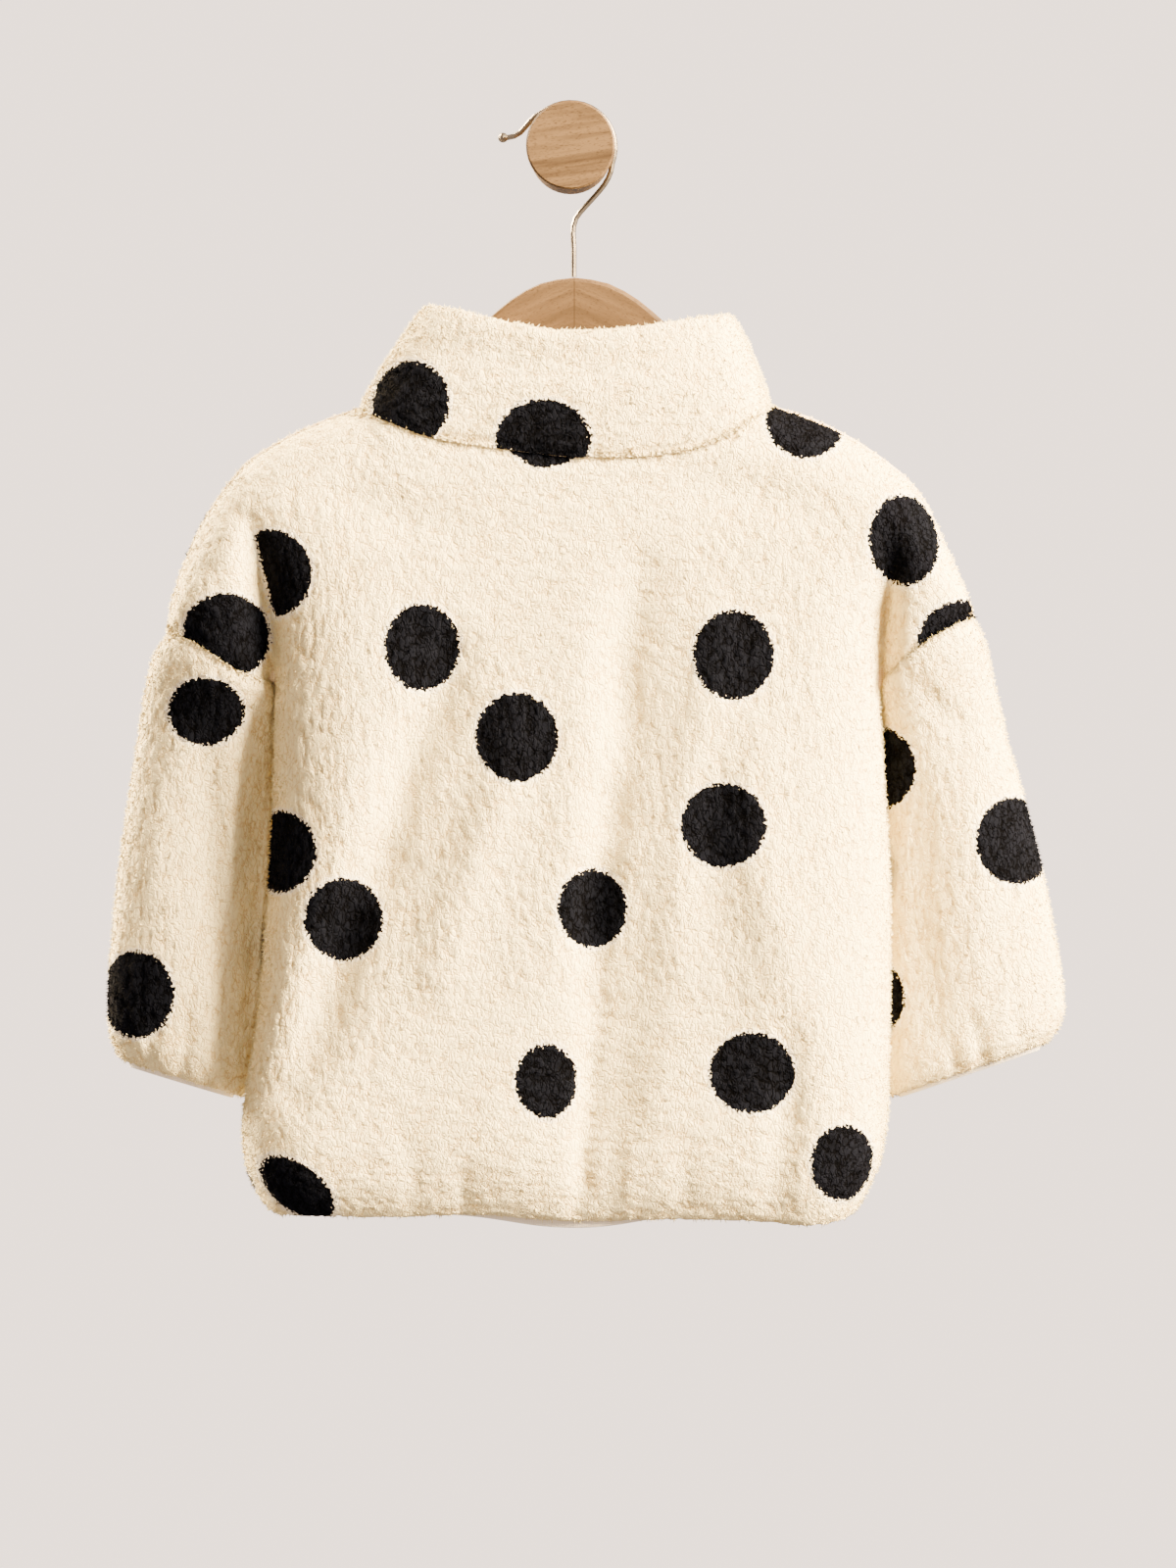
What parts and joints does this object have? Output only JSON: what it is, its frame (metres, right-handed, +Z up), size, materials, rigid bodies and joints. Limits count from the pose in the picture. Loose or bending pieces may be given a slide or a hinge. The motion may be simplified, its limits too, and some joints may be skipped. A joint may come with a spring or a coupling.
{
  "type": "half-zip fleece on a hanger and wall peg",
  "caption": "Toddler's dotted teddy-fleece half-zip top with funnel collar and dropped shoulders, seen from its back, on a flat wooden hanger hooked over a round wall peg.",
  "frame": {"origin": "centre of the peg's flat back, on the wall plane", "axes": "+X to the right for someone facing the wall, +Y into the wall, +Z up"},
  "size_m": [0.4939, 0.0987, 0.5784],
  "materials": {
    "teddy_fleece": "cream clumped pile with scattered black dots",
    "elastic_binding": "smooth cream stretch binding",
    "zip_tape": "woven cream tape",
    "zip_metal": "satin nickel plating",
    "hanger_wood": "clear matt varnish on beech",
    "hook_metal": "satin nickel plating",
    "peg_wood": "bare sanded beech"
  },
  "bodies": {
    "garment": {"back_panel": "teddy_fleece", "front_panel": "teddy_fleece", "sleeve_left": "teddy_fleece", "sleeve_right": "teddy_fleece", "collar": "teddy_fleece", "hem_binding": "elastic_binding", "cuff_binding_left": "elastic_binding", "cuff_binding_right": "elastic_binding", "zip_tape_left": "zip_tape", "zip_tape_right": "zip_tape", "zip_slider": "zip_metal", "hanger_board": "hanger_wood", "hanger_hook": "hook_metal", "wall_peg": "peg_wood"},
    "pull_tab": {"zip_pull": "zip_metal"}
  },
  "joints": [
    {"name": "pull_swing", "type": "hinge", "parent": "garment", "child": "pull_tab", "pos_m": [0, -0.0333, -0.124], "axis": [1, 0, 0], "range_deg": [0, 165]}
  ]
}
